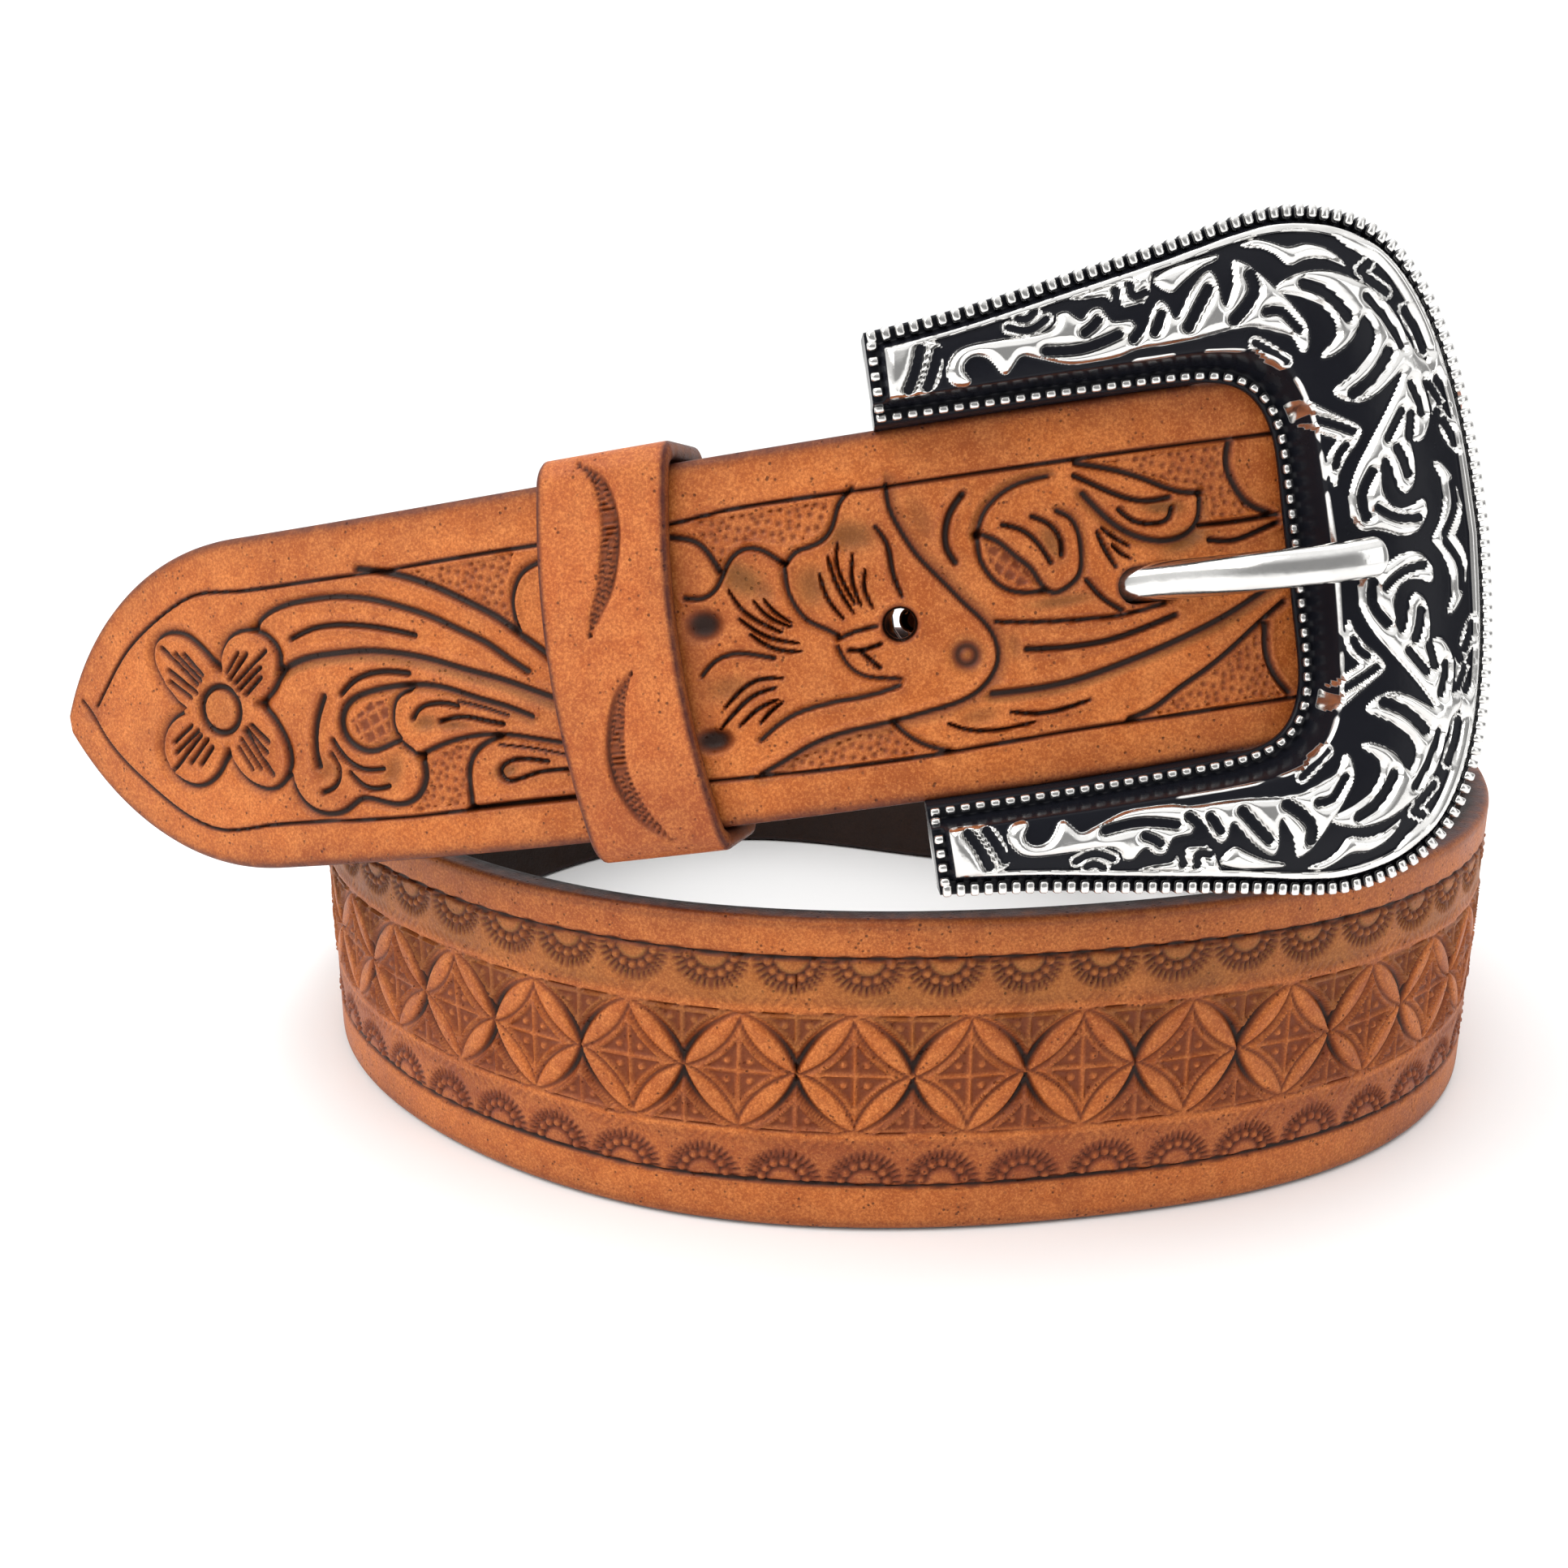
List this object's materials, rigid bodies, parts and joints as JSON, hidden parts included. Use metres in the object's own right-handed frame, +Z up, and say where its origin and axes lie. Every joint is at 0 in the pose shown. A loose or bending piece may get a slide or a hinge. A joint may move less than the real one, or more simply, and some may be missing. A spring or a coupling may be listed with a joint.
{
  "type": "western tooled leather belt",
  "caption": "Leather belt tooled with leaf and basket-stamp ornament, fastened by an engraved nickel buckle and coiled into two turns on its edge.",
  "frame": {"origin": "middle of the belt's footprint on the floor", "axes": "+Z up the standing strap's edge, -Y out of the front of the coil where the buckle is, +X to the right seen from the front"},
  "size_m": [0.1854, 0.158, 0.1112],
  "materials": {
    "strap_leather": "tooled vegetable-tanned leather, tan with darker antique in the cuts, satin",
    "keeper_leather": "smooth orange-tan leather with dark burnished edges, satin",
    "buckle_nickel": "polished nickel relief over black enamelled recesses",
    "prong_nickel": "polished nickel",
    "screw_nickel": "polished nickel"
  },
  "bodies": {
    "root": {"strap": "strap_leather", "keeper": "keeper_leather", "buckle_frame": "buckle_nickel", "prong": "prong_nickel", "fold_screw_1": "screw_nickel", "fold_screw_2": "screw_nickel"}
  },
  "joints": []
}
